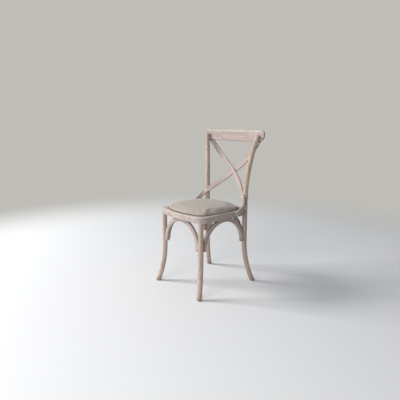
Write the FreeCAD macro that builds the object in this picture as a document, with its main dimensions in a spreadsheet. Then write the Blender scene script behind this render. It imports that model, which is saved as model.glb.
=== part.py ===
import FreeCAD, Part
import math
import os
import re
import Sketcher
from FreeCAD import Placement, Rotation, Vector

# A bentwood dining chair with a crossed back, four round legs, four arched braces and an upholstered seat.
# Millimetres. Z is up, the front of the chair faces -Y, and its right side as you face the front is +X.
# Places across the seat are measured from the middle of the seat, which stands seat_middle off the origin.

SIZES = {
    # where the middle of the seat stands, so that the origin is under the middle of the chair
    "seat_middle": -19.5,
    # the bent seat ring
    "ring_top": 447.0,
    "ring_height": 33.0,
    "ring_width": 38.0,
    "seat_half_width": 189.0,
    "seat_front": 202.0,
    "seat_rear": 178.0,
    "front_bow_radius": 900.0,
    "front_corner_radius": 52.0,
    "rear_corner_radius": 80.0,
    "ring_edge_radius": 6.0,
    "ring_foot_radius": 3.0,
    # the rebate that takes the seat board
    "ledge_width": 12.0,
    "rebate_depth": 12.0,
    "board_thickness": 10.0,
    "board_gap": 1.5,
    # the cushion
    "pad_gap": 1.0,
    "pad_height": 30.0,
    "soft_gap": 0.3,
    # round legs and posts
    "leg_radius": 14.0,
    "end_round": 3.0,
    "foot_round": 1.5,
    "front_leg_angle": 53.0,
    "front_bend_height": 235.0,
    "front_splay": 45.0,
    "tenon_radius": 9.0,
    "tenon_length": 18.0,
    "rear_post_angle": 54.7,
    "post_notch": 6.0,
    "rear_bend_height": 254.0,
    "rear_splay": 56.0,
    "rear_splay_angle": 56.0,
    "back_bend_height": 480.0,
    "post_top": 861.0,
    "back_lean": 63.0,
    "back_lean_angle": 40.2,
    "glide_radius": 10.0,
    "glide_height": 3.0,
    # arched braces
    "arch_thickness": 22.0,
    "arch_depth": 18.0,
    "arch_edge_radius": 4.0,
    "arch_foot": 255.0,
    "arch_leg_seat": 2.0,
    "arch_ring_seat": 1.5,
    # crest rail
    "rail_middle": 854.0,
    "rail_half_length": 246.0,
    "rail_end_radius": 31.0,
    "rail_top_radius": 5800.0,
    "rail_thickness": 12.0,
    "rail_bow": 18.0,
    "rail_seat": 3.0,
    "rail_edge_radius": 3.0,
    # crossed strips of the back
    "strip_width": 28.0,
    "strip_thickness": 9.0,
    "strip_edge_flat": 1.5,
    "section_step": 14.0,
    "strip_top_x": 215.0,
    "strip_end_rise": 10.0,
    "strip_screw_drop": 5.0,
    "shoulder_x": 129.0,
    "shoulder_depth": 55.0,
    "shoulder_height": 750.0,
    "crossing_depth": 59.0,
    "crossing_height": 643.0,
    "waist_x": 86.0,
    "waist_depth": 30.0,
    "waist_height": 571.0,
    "strip_bolt_height": 507.0,
    "strip_seat": 2.0,
    "notch_gap": 0.5,
    "strip_land_y": 92.0,
    "strip_land_drop": 3.0,
    "strip_land_gap": 0.6,
    "strip_end_y": 62.0,
    "strip_end_drop": 17.0,
    # fasteners
    "seat_gap": 0.1,
    "bore_gap": 0.1,
    "screw_radius": 2.0,
    "screw_head_radius": 4.0,
    "bolt_radius": 3.0,
    "bolt_head_radius": 7.0,
    "bolt_head_height": 3.0,
    "post_bolt_sink": 2.0,
    "post_nut_sink": 1.0,
    "nut_radius": 6.0,
    "nut_height": 5.0,
    "bolt_tail": 2.0,
    "arch_screw_length": 36.0,
    "crown_screw_length": 34.0,
    "rail_screw_length": 28.0,
    "rail_screw_spacing": 18.0,
    "rail_screw_drop": 12.0,
    "strip_screw_length": 17.0,
    "strip_end_screw_length": 19.0,
    "strip_end_screw_in": 11.0,
    "crossing_screw_length": 16.0,
    "seat_screw_length": 26.0,
    "seat_screw_x": 100.0,
    "arch_screw_rise": 14.0,
    "side_arch_screw_rise": 26.0,
}

doc = FreeCAD.newDocument("cross_back_chair")
sheet = doc.addObject("Spreadsheet::Sheet", "dims")
for row, (alias, number) in enumerate(SIZES.items(), start=1):
    sheet.set("A%d" % row, alias)
    sheet.set("B%d" % row, str(number))
    sheet.setAlias("B%d" % row, alias)
doc.recompute()

UP = Vector(0, 0, 1)
pieces = {}


def formula(text):
    """Write a formula of sizes with the sheet's name before each of them."""
    return re.sub("[a-z_]+", lambda word: ("dims." if word[0] in SIZES else "") + word[0], text)


def size(text):
    """The number that a formula of sizes gives."""
    number = sheet.evalExpression(formula(text))
    return float(getattr(number, "Value", number))


def bind(item, prop, text):
    item.setExpression(prop, formula(text))


def keep(item, label):
    """Name a finished piece."""
    item.Label = label
    pieces[label] = item
    return item


def bend_radius(rise, lean):
    """Radius of an arc that sets off upright and has moved over by lean once it has climbed by rise."""
    return f"((({rise})^2 + ({lean})^2) / (2 * ({lean})))"


def bend_lean(radius, rise):
    """How far such an arc has moved over after climbing by rise."""
    return f"({radius} - sqrt({radius}^2 - ({rise})^2))"


# Formulas that several pieces share
RING_BOTTOM = "(ring_top - ring_height)"
REBATE_FLOOR = "(ring_top - rebate_depth)"
WEB_MIDDLE = f"(({RING_BOTTOM} + {REBATE_FLOOR}) / 2)"
LEDGE_MIDDLE = "((ledge_width + ring_width) / 2)"
BOW_MIDDLE = "(front_bow_radius - seat_front)"
FRONT_CORNER_X = "(seat_half_width - front_corner_radius)"
FRONT_CORNER_Y = f"({BOW_MIDDLE} - sqrt((front_bow_radius - front_corner_radius)^2 - {FRONT_CORNER_X}^2))"
LEG_X = f"({FRONT_CORNER_X} + (front_corner_radius - leg_radius) * cos(front_leg_angle))"
LEG_Y = f"({FRONT_CORNER_Y} - (front_corner_radius - leg_radius) * sin(front_leg_angle))"
POST_REACH = "(rear_corner_radius + leg_radius - post_notch)"
POST_X = f"(seat_half_width - rear_corner_radius + {POST_REACH} * cos(rear_post_angle))"
POST_Y = f"(seat_rear - rear_corner_radius + {POST_REACH} * sin(rear_post_angle))"
FRONT_BEND = bend_radius("front_bend_height", "front_splay")
REAR_BEND = bend_radius("rear_bend_height", "rear_splay")
BACK_BEND = bend_radius("post_top - back_bend_height", "back_lean")
RAIL_RISE = "(rail_middle - back_bend_height)"
RAIL_LEAN = bend_lean(BACK_BEND, RAIL_RISE)
RAIL_POST_X = f"({POST_X} + {RAIL_LEAN} * cos(back_lean_angle))"
RAIL_TILT = f"atan({RAIL_RISE} / sqrt({BACK_BEND}^2 - {RAIL_RISE}^2) * sin(back_lean_angle))"
RAIL_BEND = bend_radius(RAIL_POST_X, "rail_bow")
RAIL_DEPTH = "(leg_radius - rail_seat + rail_thickness / 2 + rail_bow)"
RAIL_Y = f"({POST_Y} + {RAIL_LEAN} * sin(back_lean_angle) + {RAIL_DEPTH} / cos({RAIL_TILT}))"


def spot(across, along, height="0", side=1):
    """A place given from the middle of the seat; side -1 mirrors it to the left."""
    return Vector(side * size(across), size(along) + size("seat_middle"), size(height))


def facing(place, direction):
    """A placement at the place, its own Z along the direction."""
    return Placement(place, Rotation(UP, direction))


def new_body(name, across="0", along="0", height="0", side=1):
    body = doc.addObject("PartDesign::Body", name)
    bind(body, "Placement.Base.x", f"{side} * {across}")
    bind(body, "Placement.Base.y", f"seat_middle + {along}")
    bind(body, "Placement.Base.z", height)
    return body


def new_sketch(body, name, role, height="0", turn=None, across=None):
    """A sketch on an origin plane of its own body, moved out by height, or turned about the upright."""
    sketch = body.newObject("Sketcher::SketchObject", name)
    plane = next(item for item in body.Origin.OriginFeatures if item.Role == role)
    sketch.AttachmentSupport = [(plane, "")]
    sketch.MapMode = "FlatFace"
    if turn:
        sketch.AttachmentOffset = Placement(Vector(), Rotation(Vector(0, 1, 0), size(turn)))
        bind(sketch, "AttachmentOffset.Rotation.Angle", turn)
    if across:
        bind(sketch, "AttachmentOffset.Base.x", across)
    bind(sketch, "AttachmentOffset.Base.z", height)
    return sketch


def dimension(sketch, text, kind, *places):
    """Add a dimension whose value is a formula of sizes."""
    index = sketch.addConstraint(Sketcher.Constraint(kind, *places, size(text)))
    bind(sketch, "Constraints[%d]" % index, text)


def join_round(sketch, count):
    """Make each edge of a closed outline run smoothly into the next."""
    for edge in range(count):
        sketch.addConstraint(Sketcher.Constraint("Tangent", edge, 2, (edge + 1) % count, 1))


def arc(middle, radius, start, end):
    """An arc, counterclockwise between two angles in degrees."""
    circle = Part.Circle(middle, UP, radius)
    return Part.ArcOfCircle(circle, math.radians(start), math.radians(end))


def circle_sketch(body, name, height, radius):
    sketch = new_sketch(body, name, "XY_Plane", height)
    sketch.addGeometry(Part.Circle(Vector(), UP, size(radius)))
    sketch.addConstraint(Sketcher.Constraint("Coincident", 0, 3, -1, 1))
    dimension(sketch, radius, "Radius", 0)
    return sketch


def seat_outline(sketch, inset, scale=1):
    """Draw the seat's outline: a bowed front, straight sides and rear, two small and two large corners."""
    half = f"{scale} * (seat_half_width - {inset})"
    rear = f"{scale} * (seat_rear - {inset})"
    bow = f"{scale} * (front_bow_radius - {inset})"
    bow_middle = f"{scale} * {BOW_MIDDLE}"
    front_corner = f"{scale} * (front_corner_radius - {inset})"
    rear_corner = f"{scale} * (rear_corner_radius - {inset})"
    front_x = scale * size(FRONT_CORNER_X)
    front_y = scale * size(FRONT_CORNER_Y)
    rear_x = scale * size("seat_half_width - rear_corner_radius")
    rear_y = scale * size("seat_rear - rear_corner_radius")
    swing = math.degrees(math.atan2(front_x, size(bow_middle) - front_y))
    edge_x = size(half)
    edge_y = size(rear)
    sketch.addGeometry([
        arc(Vector(0, size(bow_middle), 0), size(bow), 270 - swing, 270 + swing),
        arc(Vector(front_x, front_y, 0), size(front_corner), 270 + swing, 360),
        Part.LineSegment(Vector(edge_x, front_y, 0), Vector(edge_x, rear_y, 0)),
        arc(Vector(rear_x, rear_y, 0), size(rear_corner), 0, 90),
        Part.LineSegment(Vector(rear_x, edge_y, 0), Vector(-rear_x, edge_y, 0)),
        arc(Vector(-rear_x, rear_y, 0), size(rear_corner), 90, 180),
        Part.LineSegment(Vector(-edge_x, rear_y, 0), Vector(-edge_x, front_y, 0)),
        arc(Vector(-front_x, front_y, 0), size(front_corner), 180, 270 - swing),
    ])
    join_round(sketch, 8)
    sketch.addConstraint(Sketcher.Constraint("Vertical", 2))
    sketch.addConstraint(Sketcher.Constraint("Horizontal", 4))
    sketch.addConstraint(Sketcher.Constraint("Vertical", 6))
    sketch.addConstraint(Sketcher.Constraint("PointOnObject", 0, 3, -2))
    dimension(sketch, bow_middle, "DistanceY", -1, 1, 0, 3)
    dimension(sketch, bow, "Radius", 0)
    for edge in (1, 7):
        dimension(sketch, front_corner, "Radius", edge)
    for edge in (3, 5):
        dimension(sketch, rear_corner, "Radius", edge)
    dimension(sketch, half, "DistanceX", -1, 1, 2, 1)
    dimension(sketch, half, "DistanceX", 6, 1, -1, 1)
    dimension(sketch, rear, "DistanceY", -1, 1, 4, 1)
    return sketch


def pad(body, name, sketch, length):
    item = body.newObject("PartDesign::Pad", name)
    item.Profile = sketch
    bind(item, "Length", length)
    return item


def pocket(body, name, sketch, depth=None, upward=False):
    """Cut the sketch downwards by depth, or right through, or upwards."""
    item = body.newObject("PartDesign::Pocket", name)
    item.Profile = sketch
    item.Reversed = upward
    if depth:
        bind(item, "Length", depth)
    else:
        item.Type = "ThroughAll"
    return item


def round_edges(body, name, radius, wanted):
    """Round the body's edges for which wanted is true."""
    doc.recompute()
    base = body.Tip
    edges = ["Edge%d" % number for number, edge in enumerate(base.Shape.Edges, start=1) if wanted(edge)]
    item = body.newObject("PartDesign::Fillet", name)
    item.Base = (base, edges)
    bind(item, "Radius", radius)
    return item


def level(edge, height):
    """Whether an edge lies flat at a height."""
    box = edge.BoundBox
    return max(abs(box.ZMin - height), abs(box.ZMax - height)) < size("seat_gap")


def beyond(edge, half_width):
    """Whether an edge reaches past a distance from the middle of the seat."""
    return max(vertex.Point.x for vertex in edge.Vertexes) > half_width or \
        min(vertex.Point.x for vertex in edge.Vertexes) < -half_width


def outline_in(body, name, height, inset):
    return seat_outline(new_sketch(body, name, "XY_Plane", height), inset)


def make_ring():
    """The bent seat ring, rebated for the seat board, open in the middle."""
    body = new_body("ring_body", height=RING_BOTTOM)
    pad(body, "ring_pad", outline_in(body, "ring_outline", "0", "0"), "ring_height")
    round_edges(body, "ring_lower_edge", "ring_foot_radius", lambda edge: level(edge, 0))
    round_edges(body, "ring_upper_edge", "ring_edge_radius", lambda edge: level(edge, size("ring_height")))
    pocket(body, "rebate", outline_in(body, "rebate_outline", "ring_height", "ledge_width"), "rebate_depth")
    pocket(body, "opening", outline_in(body, "opening_outline", "ring_height", "ring_width"))
    doc.recompute()
    return body


def make_board():
    """The plywood board under the cushion, resting on the rebate."""
    body = new_body("board_body", height=REBATE_FLOOR)
    outline = outline_in(body, "board_outline", "0", "(ledge_width + board_gap)")
    pad(body, "board_pad", outline, "board_thickness")
    return body


# The cushion's sections: a share of its outline and of its height, from its drawn-in foot to its crown
CUSHION = ((0.975, 0), (0.995, 0.12), (1, 0.27), (0.985, 0.45), (0.93, 0.64), (0.8, 0.81), (0.6, 0.92), (0.3, 0.985), (0.1, 1))


def make_cushion():
    """The upholstered cushion, crowned on top, its sides drawn in towards the board."""
    sections = []
    for number, (share, rise) in enumerate(CUSHION):
        sketch = doc.addObject("Sketcher::SketchObject", "cushion_outline_%d" % number)
        seat_outline(sketch, "(ledge_width + pad_gap)", share)
        bind(sketch, "Placement.Base.y", "seat_middle")
        height = f"{REBATE_FLOOR} + board_thickness + soft_gap + {rise} * pad_height"
        bind(sketch, "Placement.Base.z", height)
        sections.append(sketch)
    loft = doc.addObject("Part::Loft", "cushion")
    loft.Sections = sections
    loft.Solid = True
    loft.MaxDegree = 3
    return loft


def straight_rod(body, name, start, end):
    """The upright run of a round rod."""
    return pad(body, name, circle_sketch(body, name + "_section", start, "leg_radius"), f"{end} - {start}")


def bent_rod(body, name, turn, bend, radius, climb, down):
    """The bent end of a round rod: its section swung by climb about the middle of the bend."""
    sketch = circle_sketch(body, name + "_section", bend, "leg_radius")
    sketch.AttachmentOffset = Placement(sketch.AttachmentOffset.Base, Rotation(UP, size(turn)))
    bind(sketch, "AttachmentOffset.Rotation.Angle", turn)
    reach = size(radius)
    half = size("leg_radius")
    sketch.addGeometry(Part.LineSegment(Vector(reach, -half, 0), Vector(reach, half, 0)), True)
    sketch.addConstraint(Sketcher.Constraint("Vertical", 1))
    dimension(sketch, radius, "DistanceX", -1, 1, 1, 1)
    dimension(sketch, "leg_radius", "DistanceY", 1, 1, -1, 1)
    dimension(sketch, "leg_radius", "DistanceY", -1, 1, 1, 2)
    swing = body.newObject("PartDesign::Revolution", name)
    swing.Profile = sketch
    swing.ReferenceAxis = (sketch, ["Axis0"])
    bind(swing, "Angle", f"asin({climb} / {radius})")
    swing.Reversed = down
    return swing


def flatten_foot(body, reach):
    """Cut the foot level, where its glide goes."""
    pocket(body, "foot_cut", circle_sketch(body, "foot_cut_outline", "glide_height", f"{reach} + 2 * leg_radius"))
    round_edges(body, "foot_edge", "foot_round", lambda edge: level(edge, size("glide_height")))


def turned(angle, side):
    """An azimuth, mirrored for the left side."""
    return f"({angle})" if side > 0 else f"(180 - ({angle}))"


def make_leg(name, side):
    """A front leg: upright under the seat ring, bent outwards below, with a turned tenon on top."""
    body = new_body(name + "_body", LEG_X, LEG_Y, side=side)
    straight_rod(body, "upright", "front_bend_height", RING_BOTTOM)
    turn = turned("-front_leg_angle", side)
    bent_rod(body, "leg_bend", turn, "front_bend_height", FRONT_BEND, "(front_bend_height + leg_radius)", True)
    flatten_foot(body, "front_splay")
    pad(body, "tenon", circle_sketch(body, "tenon_section", RING_BOTTOM, "tenon_radius"), "tenon_length")
    doc.recompute()
    return body


def make_post(name, side):
    """A rear leg and back post in one bent rod."""
    body = new_body(name + "_body", POST_X, POST_Y, side=side)
    straight_rod(body, "upright", "rear_bend_height", "back_bend_height")
    turn = turned("rear_splay_angle", side)
    bent_rod(body, "leg_bend", turn, "rear_bend_height", REAR_BEND, "(rear_bend_height + leg_radius)", True)
    flatten_foot(body, "rear_splay")
    turn = turned("back_lean_angle", side)
    bent_rod(body, "back_bend", turn, "back_bend_height", BACK_BEND, "(post_top - back_bend_height)", False)
    top = size("post_top") - size("leg_radius")
    round_edges(body, "post_top_edge", "end_round", lambda edge: edge.BoundBox.ZMin > top and edge.isClosed())
    doc.recompute()
    return body


def rounded_rectangle(body, name, height, across, width, depth, radius):
    """A rectangle with rounded corners, its middle moved across."""
    sketch = new_sketch(body, name, "XY_Plane", height, across=across)
    half_w = size(width) / 2
    half_d = size(depth) / 2
    edge = size(radius)
    in_w = half_w - edge
    in_d = half_d - edge
    sketch.addGeometry([
        Part.LineSegment(Vector(-in_w, -half_d, 0), Vector(in_w, -half_d, 0)),
        arc(Vector(in_w, -in_d, 0), edge, 270, 360),
        Part.LineSegment(Vector(half_w, -in_d, 0), Vector(half_w, in_d, 0)),
        arc(Vector(in_w, in_d, 0), edge, 0, 90),
        Part.LineSegment(Vector(in_w, half_d, 0), Vector(-in_w, half_d, 0)),
        arc(Vector(-in_w, in_d, 0), edge, 90, 180),
        Part.LineSegment(Vector(-half_w, in_d, 0), Vector(-half_w, -in_d, 0)),
        arc(Vector(-in_w, -in_d, 0), edge, 180, 270),
    ])
    join_round(sketch, 8)
    for line, kind in enumerate(("Horizontal", "Vertical", "Horizontal", "Vertical")):
        sketch.addConstraint(Sketcher.Constraint(kind, 2 * line))
    for corner in (1, 3, 5, 7):
        dimension(sketch, radius, "Radius", corner)
    dimension(sketch, f"{depth} / 2", "DistanceY", 0, 1, -1, 1)
    dimension(sketch, f"{width} / 2", "DistanceX", -1, 1, 2, 1)
    dimension(sketch, f"{depth} / 2", "DistanceY", -1, 1, 4, 1)
    dimension(sketch, f"{width} / 2", "DistanceX", 6, 1, -1, 1)
    return sketch


# The places of the four uprights, as formulas and the side they stand on
FRONT_LEFT = (LEG_X, LEG_Y, -1)
FRONT_RIGHT = (LEG_X, LEG_Y, 1)
REAR_LEFT = (POST_X, POST_Y, -1)
REAR_RIGHT = (POST_X, POST_Y, 1)


class Arch:
    """Where an arched brace goes: between two uprights, touching both and the ring above."""

    def __init__(self, near, far):
        across = f"({far[2]} * {far[0]} - {near[2]} * {near[0]})"
        along = f"({far[1]} - {near[1]})"
        self.middle_x = f"(({far[2]} * {far[0]} + {near[2]} * {near[0]}) / 2)"
        self.middle_y = f"(({far[1]} + {near[1]}) / 2)"
        self.turn = f"atan2({along}; {across})"
        self.reach = f"(sqrt({across}^2 + {along}^2) / 2 - leg_radius + arch_leg_seat)"
        self.spring = f"({RING_BOTTOM} + arch_ring_seat - {self.reach})"
        self.middle = spot(self.middle_x, self.middle_y)
        angle = math.radians(size(self.turn))
        self.direction = Vector(math.cos(angle), math.sin(angle), 0)

    def body(self, name):
        """The bent brace, its crown flattened under the ring, before it is coped to the uprights."""
        body = new_body(name + "_body", self.middle_x, self.middle_y)
        bind(body, "Placement.Rotation.Yaw", self.turn)
        radius = f"({self.reach} - arch_thickness / 2)"
        start = f"(min(arch_foot; {self.spring}) - arch_thickness)"
        spine = new_sketch(body, "arch_spine", "XZ_Plane")
        half = size(radius)
        low = size(start)
        high = size(self.spring)
        spine.addGeometry([
            Part.LineSegment(Vector(half, low, 0), Vector(half, high, 0)),
            arc(Vector(0, high, 0), half, 0, 180),
            Part.LineSegment(Vector(-half, high, 0), Vector(-half, low, 0)),
        ])
        spine.addConstraint(Sketcher.Constraint("Tangent", 0, 2, 1, 1))
        spine.addConstraint(Sketcher.Constraint("Tangent", 1, 2, 2, 1))
        spine.addConstraint(Sketcher.Constraint("Vertical", 0))
        spine.addConstraint(Sketcher.Constraint("Vertical", 2))
        spine.addConstraint(Sketcher.Constraint("PointOnObject", 1, 3, -2))
        dimension(spine, radius, "Radius", 1)
        dimension(spine, self.spring, "DistanceY", -1, 1, 1, 3)
        dimension(spine, start, "DistanceY", -1, 1, 0, 1)
        dimension(spine, start, "DistanceY", -1, 1, 2, 2)
        pipe = body.newObject("PartDesign::AdditivePipe", "arch_rod")
        pipe.Profile = rounded_rectangle(body, "arch_section", start, radius, "arch_thickness",
                                         "arch_depth", "arch_edge_radius")
        pipe.Spine = (spine, ["Edge1", "Edge2", "Edge3"])
        cover = f"{self.reach} + arch_depth"
        pocket(body, "foot_cut", circle_sketch(body, "foot_cut_outline", "arch_foot", cover))
        pocket(body, "crown_cut", circle_sketch(body, "crown_cut_outline", RING_BOTTOM, cover), upward=True)
        doc.recompute()
        return body

    def foot_screw(self, end, rise):
        """A screw through one foot into its upright; end is -1 or 1."""
        height = size("arch_foot") + size(rise)
        inner = size(f"{self.reach} - arch_thickness")
        above = max(0, height - size(self.spring))
        inward = math.sqrt(inner**2 - above**2)
        place = self.middle + self.direction * (end * inward) + UP * height
        return facing(place, self.direction * end)

    def crown_screw(self):
        """A screw up through the crown into the ring."""
        return facing(self.middle + UP * size(f"{RING_BOTTOM} + arch_ring_seat - arch_thickness"), UP)


def screw(name, length, place, gap="0"):
    """A countersunk screw, or the bore for one where there is a gap; it starts at its head's face."""
    head = doc.addObject("Part::Cone", name + "_head")
    bind(head, "Radius1", f"screw_head_radius + {gap}")
    bind(head, "Radius2", f"screw_radius + {gap}")
    bind(head, "Height", "screw_head_radius - screw_radius")
    shank = doc.addObject("Part::Cylinder", name + "_shank")
    bind(shank, "Radius", f"screw_radius + {gap}")
    bind(shank, "Height", f"{length} + {gap}")
    whole = doc.addObject("Part::MultiFuse", name)
    whole.Shapes = [head, shank]
    whole.Placement = place
    return whole


def rod(name, radius, length, place, drop="0"):
    """A cylinder that starts drop behind its place."""
    item = doc.addObject("Part::Cylinder", name)
    bind(item, "Radius", radius)
    bind(item, "Height", length)
    item.Placement = place.multiply(Placement(Vector(0, 0, -size(drop)), Rotation()))
    return item


def bolt(name, length, place):
    """A bolt with a domed head; it starts under the head."""
    ball = bend_radius("bolt_head_radius", "bolt_head_height")
    head = doc.addObject("Part::Sphere", name + "_head")
    bind(head, "Radius", ball)
    bind(head, "Angle1", f"asin(({ball} - bolt_head_height) / {ball})")
    head.Placement = Placement(Vector(0, 0, size(f"{ball} - bolt_head_height")), Rotation(Vector(1, 0, 0), 180))
    shank = doc.addObject("Part::Cylinder", name + "_shank")
    bind(shank, "Radius", "bolt_radius")
    bind(shank, "Height", length)
    whole = doc.addObject("Part::MultiFuse", name)
    whole.Shapes = [head, shank]
    whole.Placement = place
    return whole


def nut(name, place, along):
    """A hexagon nut that starts at a distance along a bolt's own direction."""
    block = doc.addObject("Part::Prism", name + "_block")
    block.Polygon = 6
    bind(block, "Circumradius", "nut_radius")
    bind(block, "Height", "nut_height")
    hole = doc.addObject("Part::Cylinder", name + "_hole")
    bind(hole, "Radius", "bolt_radius + bore_gap")
    bind(hole, "Height", "nut_height")
    whole = doc.addObject("Part::Cut", name)
    whole.Base = block
    whole.Tool = hole
    whole.Placement = place.multiply(Placement(Vector(0, 0, size(along)), Rotation()))
    return whole


def group(name, items):
    item = doc.addObject("Part::Compound", name)
    item.Links = items
    return item


def carve(base, label, *tools):
    """Cut each of the tools out of the base in turn, and keep the result under the label."""
    for number, tool in enumerate(tools, start=1):
        cut = doc.addObject("Part::Cut", "%s_cut_%d" % (label, number))
        cut.Base = base
        cut.Tool = tool
        cut.Refine = False
        base = cut
    return keep(base, label)


class Rail:
    """Where the crest rail goes: behind the posts, tilted with them and bowed backwards."""

    def __init__(self):
        tilt = math.radians(size(RAIL_TILT))
        self.back = Vector(0, math.cos(tilt), -math.sin(tilt))
        self.up = Vector(0, math.sin(tilt), math.cos(tilt))
        self.middle = spot("0", RAIL_Y, "rail_middle")
        self.bend = size(RAIL_BEND)

    def normal(self, across):
        """The direction that the rail's back faces at a distance across."""
        lean = math.asin(across / self.bend)
        return Vector(math.sin(lean), 0, 0) + self.back * math.cos(lean)

    def surface(self, across, rise, out):
        """A place at a distance across and up the rail, out of its middle surface."""
        return self.middle - self.back * self.bend + self.normal(across) * (self.bend + out) + self.up * rise

    def blank(self):
        """The rail before it is bored: its front outline, cut out of a bent board."""
        sketch = doc.addObject("Sketcher::SketchObject", "rail_outline")
        end = size("rail_end_radius")
        half = size("rail_half_length") - end
        top = size("rail_top_radius")
        middle = Vector(0, -math.sqrt((top - end)**2 - half**2), 0)
        swing = math.degrees(math.asin(half / (top - end)))
        sketch.addGeometry([
            Part.LineSegment(Vector(-half, -end, 0), Vector(half, -end, 0)),
            arc(Vector(half, 0, 0), end, 270, 450 - swing),
            arc(middle, top, 90 - swing, 90 + swing),
            arc(Vector(-half, 0, 0), end, 90 + swing, 270),
        ])
        join_round(sketch, 4)
        sketch.addConstraint(Sketcher.Constraint("Horizontal", 0))
        dimension(sketch, "rail_end_radius", "DistanceY", 0, 1, -1, 1)
        for edge in (1, 3):
            dimension(sketch, "rail_end_radius", "Radius", edge)
        dimension(sketch, "rail_top_radius", "Radius", 2)
        dimension(sketch, "rail_half_length - rail_end_radius", "DistanceX", -1, 1, 0, 2)
        dimension(sketch, "rail_half_length - rail_end_radius", "DistanceX", 0, 1, -1, 1)
        face = Rotation(Vector(1, 0, 0), self.up, self.back * -1, "XYZ")
        sketch.Placement = Placement(self.middle, face)
        slab = doc.addObject("Part::Extrusion", "rail_slab")
        slab.Base = sketch
        slab.DirMode = "Normal"
        bind(slab, "LengthFwd", "2 * rail_bow + rail_thickness")
        bind(slab, "LengthRev", "rail_thickness")
        slab.Solid = True
        outer = self.drum("rail_outer_bend", 0.5)
        inner = self.drum("rail_inner_bend", -0.5)
        bent = doc.addObject("Part::Common", "rail_bent")
        bent.Base = slab
        bent.Tool = outer
        board = doc.addObject("Part::Cut", "rail_board")
        board.Base = bent
        board.Tool = inner
        doc.recompute()
        self.board = board
        radius = size("rail_edge_radius")
        whole = doc.addObject("Part::Fillet", "rail_blank")
        whole.Base = board
        whole.Edges = [(number, radius, radius) for number, edge in enumerate(board.Shape.Edges, start=1)
                       if edge.Length > 2 * size("rail_thickness")]
        doc.recompute()
        return whole

    def drum(self, name, share):
        """An upright drum whose wall is a face of the bent board; share is of the board's thickness."""
        item = doc.addObject("Part::Cylinder", name)
        bind(item, "Radius", f"{RAIL_BEND} + {share} * rail_thickness")
        bind(item, "Height", "4 * rail_end_radius")
        base = self.middle - self.back * self.bend - self.up * size("2 * rail_end_radius")
        item.Placement = Placement(base, Rotation(Vector(1, 0, 0), self.back, self.up, "XYZ"))
        return item


def post_axis(side, height):
    """The place of a post's axis at a height above the seat."""
    climb = max(0, height - size("back_bend_height"))
    bend = size(BACK_BEND)
    lean = bend - math.sqrt(bend**2 - climb**2)
    angle = math.radians(size("back_lean_angle"))
    place = spot(POST_X, POST_Y)
    return Vector(side * (place.x + lean * math.cos(angle)), place.y + lean * math.sin(angle), height)


def square_to(vector, direction):
    """The part of a vector that is square to a direction, as a unit."""
    return (vector - direction * vector.dot(direction)).normalize()


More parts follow.
